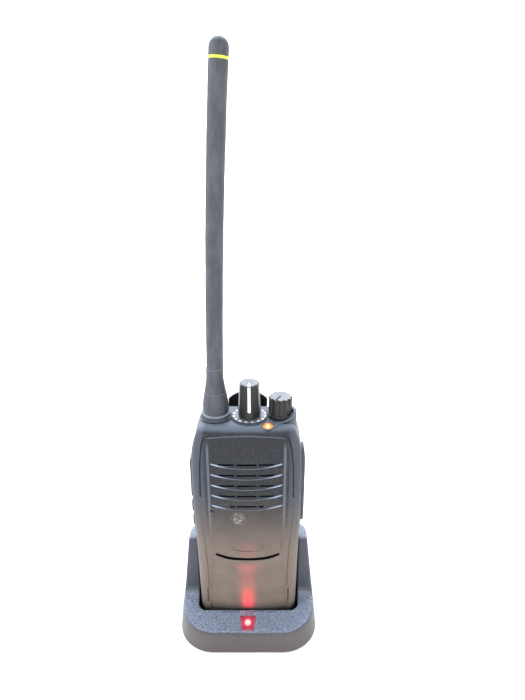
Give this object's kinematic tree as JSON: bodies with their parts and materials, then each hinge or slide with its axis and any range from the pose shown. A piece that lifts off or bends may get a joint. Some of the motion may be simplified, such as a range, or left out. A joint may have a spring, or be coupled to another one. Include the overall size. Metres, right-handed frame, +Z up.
{
  "type": "portable two-way radio in a desk charger",
  "caption": "Handheld two-way radio with a whip antenna, two top knobs, side keys and belt clip, standing in a low desk charger with a lit red lens.",
  "frame": {"origin": "centre of the charger's footprint, on the table", "axes": "+X to the right as seen from the front, +Y from the front towards the back, +Z up"},
  "size_m": [0.0694, 0.0586, 0.2675],
  "materials": {
    "radio_shell": "black polycarbonate blend, fine moulded texture",
    "battery_shell": "black polycarbonate blend, fine moulded texture",
    "charger_shell": "black ABS, spark-eroded texture",
    "knob_plastic": "black moulded nylon, satin",
    "clip_plastic": "black glass-filled nylon, satin",
    "key_rubber": "moulded silicone, matt",
    "jack_cover_rubber": "moulded elastomer, matt",
    "antenna_rubber": "moulded elastomer, satin",
    "band_yellow": "yellow-green plastic ring",
    "pointer_white": "white filled line",
    "die_cast_chassis": "die-cast, black painted",
    "steel_screw": "blackened steel",
    "spring_steel": "bright spring steel",
    "contact_plating": "gold plated",
    "plated_brass": "turned, nickel plated",
    "circuit_board": "green solder mask",
    "tinned_cover": "tin plated",
    "speaker_steel": "pressed steel, black",
    "speaker_paper": "pressed paper cone",
    "grille_cloth": "fine dust cloth",
    "socket_plastic": "black nylon",
    "power_parts": "coil, capacitor and regulator",
    "foot_rubber": "stick-on rubber",
    "clear_light_pipe": "amber-tinted polycarbonate, lit",
    "amber_lamp": "surface-mount lamp, lit",
    "red_lens": "red acrylic, lit",
    "red_lamp": "round lamp, lit",
    "cell_wrap": "heat-shrink sleeve"
  },
  "bodies": {
    "charger": {"charger_housing": "charger_shell", "charger_base_plate": "charger_shell", "rubber_feet": "foot_rubber", "base_plate_screws": "steel_screw", "charger_circuit_board": "circuit_board", "charger_power_parts": "power_parts", "dc_inlet_socket": "socket_plastic", "contact_carrier": "socket_plastic", "led_board": "circuit_board", "charge_led": "red_lamp", "charge_light_lens": "red_lens"},
    "contact_left": {"charge_contact_left": "contact_plating"},
    "contact_middle": {"charge_contact_middle": "contact_plating"},
    "contact_right": {"charge_contact_right": "contact_plating"},
    "radio": {"front_case": "radio_shell", "rear_chassis": "die_cast_chassis", "chassis_screws": "steel_screw", "speaker": "speaker_steel", "speaker_cone": "speaker_paper", "speaker_cloth": "grille_cloth", "microphone": "tinned_cover", "main_circuit_board": "circuit_board", "shield_cans": "tinned_cover", "antenna_connector": "plated_brass", "antenna_sleeve": "antenna_rubber", "antenna_whip": "antenna_rubber", "antenna_band": "band_yellow", "channel_switch": "socket_plastic", "channel_dial": "knob_plastic", "volume_control": "socket_plastic", "status_light_pipe": "clear_light_pipe", "status_led": "amber_lamp", "side_switch_board": "circuit_board", "jack_sockets": "socket_plastic", "jack_cover": "jack_cover_rubber", "jack_cover_screw": "steel_screw", "battery_case": "battery_shell", "battery_cover": "battery_shell", "battery_cells": "cell_wrap", "battery_protection_board": "circuit_board", "battery_terminals": "contact_plating", "clip_base": "clip_plastic", "clip_screws": "steel_screw", "clip_hinge_pin": "spring_steel", "clip_spring": "spring_steel"},
    "channel_knob": {"channel_knob": "knob_plastic", "channel_knob_pointer": "pointer_white", "channel_shaft": "plated_brass"},
    "volume_knob": {"volume_knob": "knob_plastic", "volume_shaft": "plated_brass"},
    "ptt_key": {"ptt_key": "key_rubber"},
    "upper_side_key": {"upper_side_key": "key_rubber"},
    "lower_side_key": {"lower_side_key": "key_rubber"},
    "battery_latch": {"battery_latch": "battery_shell"},
    "clip_lever": {"clip_lever": "clip_plastic"}
  },
  "joints": [
    {"name": "radio_lift", "type": "slide", "parent": "charger", "child": "radio", "axis": [0, 0, 1], "range_m": [0, 0.08]},
    {"name": "channel_knob_turn", "type": "hinge", "parent": "radio", "child": "channel_knob", "pos_m": [0.0013, -0.004, 0.1171], "axis": [0, 0, 1], "range_deg": [-157.5, 180]},
    {"name": "volume_knob_turn", "type": "hinge", "parent": "radio", "child": "volume_knob", "pos_m": [0.0153, -0.004, 0.1171], "axis": [0, 0, 1], "range_deg": [-210, 90]},
    {"name": "ptt_key_press", "type": "slide", "parent": "radio", "child": "ptt_key", "axis": [1, 0, 0], "range_m": [0, 0.0009], "stiffness_N_per_m": 2000, "springref_m": -0.0008},
    {"name": "upper_side_key_press", "type": "slide", "parent": "radio", "child": "upper_side_key", "axis": [1, 0, 0], "range_m": [0, 0.0007], "stiffness_N_per_m": 1500, "springref_m": -0.0008},
    {"name": "lower_side_key_press", "type": "slide", "parent": "radio", "child": "lower_side_key", "axis": [1, 0, 0], "range_m": [0, 0.0007], "stiffness_N_per_m": 1500, "springref_m": -0.0008},
    {"name": "battery_latch_slide", "type": "slide", "parent": "radio", "child": "battery_latch", "axis": [0, 1, 0], "range_m": [0, 0.0019], "stiffness_N_per_m": 500, "springref_m": -0.003},
    {"name": "clip_lever_swing", "type": "hinge", "parent": "radio", "child": "clip_lever", "pos_m": [0, 0.0136, 0.101], "axis": [1, 0, 0], "range_deg": [0, 18], "stiffness_Nm_per_rad": 0.9, "springref_deg": -20.05},
    {"name": "contact_left_press", "type": "slide", "parent": "charger", "child": "contact_left", "axis": [0, 1, 0], "range_m": [0, 0.0008], "stiffness_N_per_m": 1200, "springref_m": -0.0005},
    {"name": "contact_middle_press", "type": "slide", "parent": "charger", "child": "contact_middle", "axis": [0, 1, 0], "range_m": [0, 0.0008], "stiffness_N_per_m": 1200, "springref_m": -0.0005},
    {"name": "contact_right_press", "type": "slide", "parent": "charger", "child": "contact_right", "axis": [0, 1, 0], "range_m": [0, 0.0008], "stiffness_N_per_m": 1200, "springref_m": -0.0005}
  ]
}
